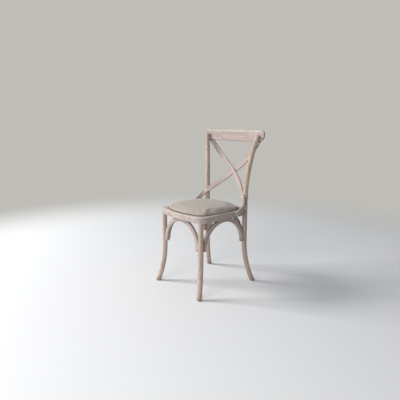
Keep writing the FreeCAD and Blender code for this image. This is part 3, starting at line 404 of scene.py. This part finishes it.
for number, node in enumerate(("front_arch", "rear_arch", "left_arch", "right_arch")):
    arch_low, arch_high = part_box(node)
    arch_size = arch_high - arch_low
    reach = max(arch_size.x, arch_size.y) / 2
    middle = (arch_low + arch_high) / 2
    middle.z = arch_high.z - reach
    turn = 0 if arch_size.x > arch_size.y else 90
    run = arch_grain(middle, reach, turn)
    oak = limewashed_oak(node + "_oak", run, (number * 2.7, 3.9, number * 4.1), grime=ARCH_FOOT, **GREY)
    finish(node, oak)

board_run = straight_grain((90, 0, 0))
# The board gets painted shade: its dark colours stand in for the shade in the gap round the pad.
finish("seat_board", limewashed_oak("board_birch_painted_shade", board_run, (1.0, 6.6, 9.2), **BOARD_PAINTED_SHADE))

# %% [markdown]
# The two crossed strips are steamed and bent, so their grain follows a curve that turns in space. Each is a
# merged copy of its part, shaded smooth along its length and sharp over its long edges. A point's place in
# the grain is kept as an attribute: how far it lies from the strip's middle line at its height, and how far
# up the strip it is, which is longer than its height because the strip leans. The material reads that
# attribute in place of the coordinates.

# %% Helpers for pieces made from a part
MERGE = 0.000005
SOFT_EDGE_ANGLE = math.radians(20)


def merged_copy(node, name):
    """A new object with a merged copy of a node's mesh."""
    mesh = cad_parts[node].data.copy()
    mesh.name = name
    mesh.materials.clear()
    shell = bmesh.new()
    shell.from_mesh(mesh)
    bmesh.ops.remove_doubles(shell, verts=shell.verts, dist=MERGE)
    shell.to_mesh(mesh)
    shell.free()
    piece = bpy.data.objects.new(name, mesh)
    bpy.context.scene.collection.objects.link(piece)
    return piece


def smooth_between_edges(shell):
    """Shades the faces smooth, apart from over their sharp edges."""
    for face in shell.faces:
        face.smooth = True
    for edge in shell.edges:
        edge.smooth = edge.calc_face_angle(0.0) < SOFT_EDGE_ANGLE


# %% The crossed strips
BAND = 0.012
BEND_RATIO = 1.4
FLAT = math.radians(0.4)


def middle_line(vertices, bottom, count):
    """The middle of the points in each band of height, from the bottom up."""
    bands = [[] for _ in range(count)]
    for vertex in vertices:
        bands[min(count - 1, int((vertex.co.z - bottom) / BAND))].append(vertex.co)
    return [sum(band, Vector()) / len(band) for band in bands]


def keep_grain_place(piece):
    """Stores each point's place in the grain, measured from the piece's middle line."""
    mesh = piece.data
    bottom = min(vertex.co.z for vertex in mesh.vertices)
    top = max(vertex.co.z for vertex in mesh.vertices)
    count = max(1, int((top - bottom) / BAND))
    line = middle_line(mesh.vertices, bottom, count)
    kept = mesh.attributes.new("grain_place", "FLOAT_VECTOR", "POINT")
    for vertex in mesh.vertices:
        step = min(count - 1.001, max(0.0, (vertex.co.z - bottom) / BAND - 0.5))
        first = int(step)
        second = min(count - 1, first + 1)
        middle = line[first].lerp(line[second], step - first)
        away = vertex.co - middle
        kept.data[vertex.index].vector = (away.x, away.y, (vertex.co.z - bottom) * BEND_RATIO)


def kept_grain(tree):
    """The place in the grain that was kept with the piece."""
    return add_node(tree, "ShaderNodeAttribute", _attribute_name="grain_place").outputs["Vector"]


for number, node in enumerate(("cross_strip_front", "cross_strip_rear")):
    strip = merged_copy(node, node + "_bent")
    shell = bmesh.new()
    shell.from_mesh(strip.data)
    bmesh.ops.dissolve_limit(shell, angle_limit=FLAT, verts=shell.verts, edges=shell.edges)
    smooth_between_edges(shell)
    shell.to_mesh(strip.data)
    shell.free()
    keep_grain_place(strip)
    strip.data.materials.append(limewashed_oak(node + "_oak", kept_grain, (number * 5.9, 2.4, 1.3), **GREY))
    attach(strip, "root")
    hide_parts(node)
    print(strip.name, "has", len(strip.data.polygons), "faces")

# %% [markdown]
# The seat ring's opening is rounder at its corners than its outside, so the pad's corners are round too. The
# ring is a merged copy of its part, and the upper edge of its rebate is drawn in at the four corners, by a
# share that grows with the product of the distances across and along. The pad is drawn in by the same share.

# %% The seat ring
CORNER_START = 0.28
CORNER_PULL = 0.12
UPRIGHT = 0.1
RUB_START = 0.008
RUB_FULL = 0.001
pad_low, pad_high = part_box("seat_pad")
pad_middle = (pad_low + pad_high) / 2
pad_half = (pad_high - pad_low) / 2


def corner_pull(place):
    """The share that a place of the seat is drawn in by: nothing at the sides, most at the corners."""
    across = (place.x - pad_middle.x) / pad_half.x
    along = (place.y - pad_middle.y) / pad_half.y
    share = min(1.0, max(0.0, (abs(across * along) - CORNER_START) / (1 - CORNER_START)))
    return 1 - CORNER_PULL * share


def draw_in(place, share):
    """Moves a place towards the middle of the seat, on its own level."""
    place.x = pad_middle.x + (place.x - pad_middle.x) * share
    place.y = pad_middle.y + (place.y - pad_middle.y) * share


def faces_inwards(face):
    """Whether a face is an upright wall that looks at the middle of the seat."""
    middle = face.calc_center_median()
    return abs(face.normal.z) < UPRIGHT and face.normal.dot(pad_middle - middle) > 0


ring = merged_copy("seat_ring", "seat_ring_rounded")
ring_low, ring_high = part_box("seat_ring")
shell = bmesh.new()
shell.from_mesh(ring.data)
shell.normal_update()
brim = {corner for face in shell.faces if faces_inwards(face) for corner in face.verts
        if corner.co.z > ring_high.z - MERGE}
for corner in brim:
    draw_in(corner.co, corner_pull(corner.co))
smooth_between_edges(shell)
shell.to_mesh(ring.data)
shell.free()
ring_edge = at_height(ring_high.z - RUB_START, ring_high.z - RUB_FULL)
ring_run = ring_grain((ring_low + ring_high) / 2, (ring_high.x - ring_low.x) / 2)
ring.data.materials.append(limewashed_oak("ring_oak", ring_run, (4.2, 8.1, 2.6), rub=ring_edge, **GREY))
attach(ring, "root")
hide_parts("seat_ring")
print("seat ring has", len(brim), "points in its brim")

# %% [markdown]
# The screws, bolts and nuts are plain zinc-plated steel gone dull, with small scuffs: a metal whose
# roughness and brightness change over a few millimetres. The glides under the feet are pale moulded plastic
# with a fine grained skin.

# %% Steel and plastic
def speckled(name, scale, detail, dark, light, roughness, spread):
    """A material whose colour and roughness change with fine noise, and its shader."""
    material, tree, shader = new_material(name)
    place = add_node(tree, "ShaderNodeTexCoord").outputs["Object"]
    specks = add_node(tree, "ShaderNodeTexNoise", Vector=place, Scale=scale, Detail=detail).outputs["Fac"]
    tree.links.new(mix_colour(tree, specks, dark, light), shader.inputs["Base Color"])
    rough = math_node(tree, "ADD", math_node(tree, "MULTIPLY", specks, spread), roughness)
    tree.links.new(rough, shader.inputs["Roughness"])
    return material, shader


steel, shader = speckled("dull_zinc_steel", scale=420.0, detail=4.0, dark=(0.44, 0.42, 0.39, 1),
                         light=(0.66, 0.64, 0.60, 1), roughness=0.28, spread=0.3)
shader.inputs["Metallic"].default_value = 1.0
plastic, shader = speckled("glide_plastic", scale=900.0, detail=2.0, dark=(0.46, 0.44, 0.41, 1),
                           light=(0.58, 0.56, 0.52, 1), roughness=0.45, spread=0.2)

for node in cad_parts:
    if node.endswith(("screws", "bolts", "nuts", "screw")):
        finish(node, steel)
finish("foot_glides", plastic)

# %% [markdown]
# The pad is a slab of foam under a tight linen cover. Its shape in the frame is a plain crowned form, so a
# copy of that is remeshed into even squares and blown up a little as cloth, which pulls the sides in between
# the corners and rounds the edge as a stuffed cover does. The points under the pad are held, because it lies
# on the board, and no point may move further than a cap, so the pad stays inside the ring. A few rounds of
# smoothing then even the cover out.

# %% Blow up the pad
VOXEL = 0.005
SHRINK = 0.997
PRESSURE = 4.0
FRAMES = 20
CAP = 0.005
HELD = 0.004
CLOTH_QUALITY = 5
SMOOTHINGS = 10
SMOOTH_SHARE = 0.5


def bake(piece):
    """Puts what the modifiers make into the mesh, and removes them."""
    graph = bpy.context.evaluated_depsgraph_get()
    mesh = bpy.data.meshes.new_from_object(piece.evaluated_get(graph))
    piece.modifiers.clear()
    piece.data = mesh


pad = merged_copy("seat_pad", "linen_pad")
remesh = pad.modifiers.new("even_squares", "REMESH")
remesh.mode = "VOXEL"
remesh.voxel_size = VOXEL
bake(pad)
for vertex in pad.data.vertices:
    draw_in(vertex.co, SHRINK * corner_pull(vertex.co))
    vertex.co.z = max(vertex.co.z, pad_low.z)
print("pad has", len(pad.data.vertices), "points")


def inflate(piece, held_below):
    """Blows the piece up as cloth, with the points below a height held, and caps each point's way."""
    held = piece.vertex_groups.new(name="held")
    held.add([v.index for v in piece.data.vertices if v.co.z < held_below], 1.0, "REPLACE")
    rest = [vertex.co.copy() for vertex in piece.data.vertices]
    cloth = piece.modifiers.new("cover", "CLOTH")
    cloth.settings.use_pressure = True
    cloth.settings.uniform_pressure_force = PRESSURE
    cloth.settings.vertex_group_mass = held.name
    cloth.settings.effector_weights.gravity = 0
    cloth.settings.quality = CLOTH_QUALITY
    cloth.point_cache.frame_start = 1
    cloth.point_cache.frame_end = FRAMES
    for number in range(1, FRAMES + 1):
        bpy.context.scene.frame_set(number)
    bake(piece)
    bpy.context.scene.frame_set(1)
    for vertex, start in zip(piece.data.vertices, rest):
        way = vertex.co - start
        if way.length > CAP:
            vertex.co = start + way.normalized() * CAP


inflate(pad, pad_low.z + HELD)
soft = bmesh.new()
soft.from_mesh(pad.data)
for _ in range(SMOOTHINGS):
    bmesh.ops.smooth_vert(soft, verts=soft.verts, factor=SMOOTH_SHARE,
                          use_axis_x=True, use_axis_y=True, use_axis_z=True)
soft.to_mesh(pad.data)
soft.free()
for vertex in pad.data.vertices:
    vertex.co.z = max(vertex.co.z, pad_low.z)
pad.data.shade_smooth()
rounding = pad.modifiers.new("rounding", "SUBSURF")
rounding.levels = 1
rounding.render_levels = 1

# %% [markdown]
# Linen is a plain weave of uneven threads. Two bands of waves, across and along, make the threads, and each
# is shifted by noise, so that some threads are thicker and slubs show. The colour changes a little from
# thread to thread, and broad noise dulls it where people sit.

# %% Linen
THREADS = 700.0
SLUB_ACROSS = 300.0
SLUB_ALONG = 14.0
WORN_SCALE = 9.0
SLUB_TONE = 0.75
CROSSING_TONE = 0.15
WORN_TONE = 0.3
LINEN_ROUGHNESS = 0.8
SLUB_ROUGHNESS = 0.15
SLUB_DEPTH = 0.6
CROSSING_DEPTH = 0.5
WEAVE_DEPTH = 0.0004
WEAVE_BUMP = 0.5
SHEEN = 0.25
SHEEN_ROUGHNESS = 0.6
LINEN_SPECULAR = 0.2

weave = bpy.data.node_groups.new("plain_weave", "ShaderNodeTree")
given, made = group_sockets(
    weave,
    [("Place", "NodeSocketVector", None), ("Thread", "NodeSocketColor", (0.46, 0.405, 0.35, 1)),
     ("Shade", "NodeSocketColor", (0.31, 0.267, 0.225, 1))],
    [("Color", "NodeSocketColor"), ("Roughness", "NodeSocketFloat"), ("Height", "NodeSocketFloat")])
x, y, z = apart(weave, given.outputs["Place"])
slub_x = stretched_noise(weave, together(weave, y, z, x), SLUB_ACROSS, SLUB_ALONG, 3.0, (1.3, 0.4, 2.2))
slub_y = stretched_noise(weave, together(weave, x, z, y), SLUB_ACROSS, SLUB_ALONG, 3.0, (5.1, 3.4, 0.7))
warp = math_node(weave, "SINE", math_node(weave, "MULTIPLY_ADD", x, THREADS * math.pi, slub_y))
weft = math_node(weave, "SINE", math_node(weave, "MULTIPLY_ADD", y, THREADS * math.pi, slub_x))
crossing = math_node(weave, "MULTIPLY_ADD", math_node(weave, "MULTIPLY", warp, weft), 0.5, 0.5)
slubs = math_node(weave, "MULTIPLY", math_node(weave, "ADD", slub_x, slub_y), 0.5)
worn = add_node(weave, "ShaderNodeTexNoise", Vector=given.outputs["Place"], Scale=WORN_SCALE, Detail=3.0)
mottle = math_node(weave, "ADD", math_node(weave, "MULTIPLY", slubs, SLUB_TONE),
                   math_node(weave, "MULTIPLY", crossing, CROSSING_TONE))
mottle = math_node(weave, "ADD", mottle, math_node(weave, "MULTIPLY", worn.outputs["Fac"], WORN_TONE))
tone_mask = stepped(weave, mottle, start=0.25, end=0.90)
weave.links.new(mix_colour(weave, tone_mask, given.outputs["Shade"], given.outputs["Thread"]),
                made.inputs["Color"])
weave.links.new(math_node(weave, "MULTIPLY_ADD", slubs, SLUB_ROUGHNESS, LINEN_ROUGHNESS),
                made.inputs["Roughness"])
pressed = math_node(weave, "MULTIPLY", crossing, CROSSING_DEPTH)
weave.links.new(math_node(weave, "MULTIPLY_ADD", slubs, SLUB_DEPTH, pressed), made.inputs["Height"])

linen, tree, shader = new_material("natural_linen")
cloth = add_node(tree, "ShaderNodeGroup", _node_tree=weave, Place=own_place(tree))
tree.links.new(cloth.outputs["Color"], shader.inputs["Base Color"])
tree.links.new(cloth.outputs["Roughness"], shader.inputs["Roughness"])
bump = add_node(tree, "ShaderNodeBump", Strength=WEAVE_BUMP, Distance=WEAVE_DEPTH,
                Height=cloth.outputs["Height"])
tree.links.new(bump.outputs["Normal"], shader.inputs["Normal"])
shader.inputs["Sheen Weight"].default_value = SHEEN
shader.inputs["Sheen Roughness"].default_value = SHEEN_ROUGHNESS
shader.inputs["Specular IOR Level"].default_value = LINEN_SPECULAR
pad.data.materials.append(linen)

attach(pad, "root")
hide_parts("seat_pad")

# %% Measure and finish
bpy.context.scene.view_settings.view_transform = "Standard"
visual_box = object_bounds()
low, high = visual_box
print("visual model from", tuple(round(v, 3) for v in low), "to", tuple(round(v, 3) for v in high))
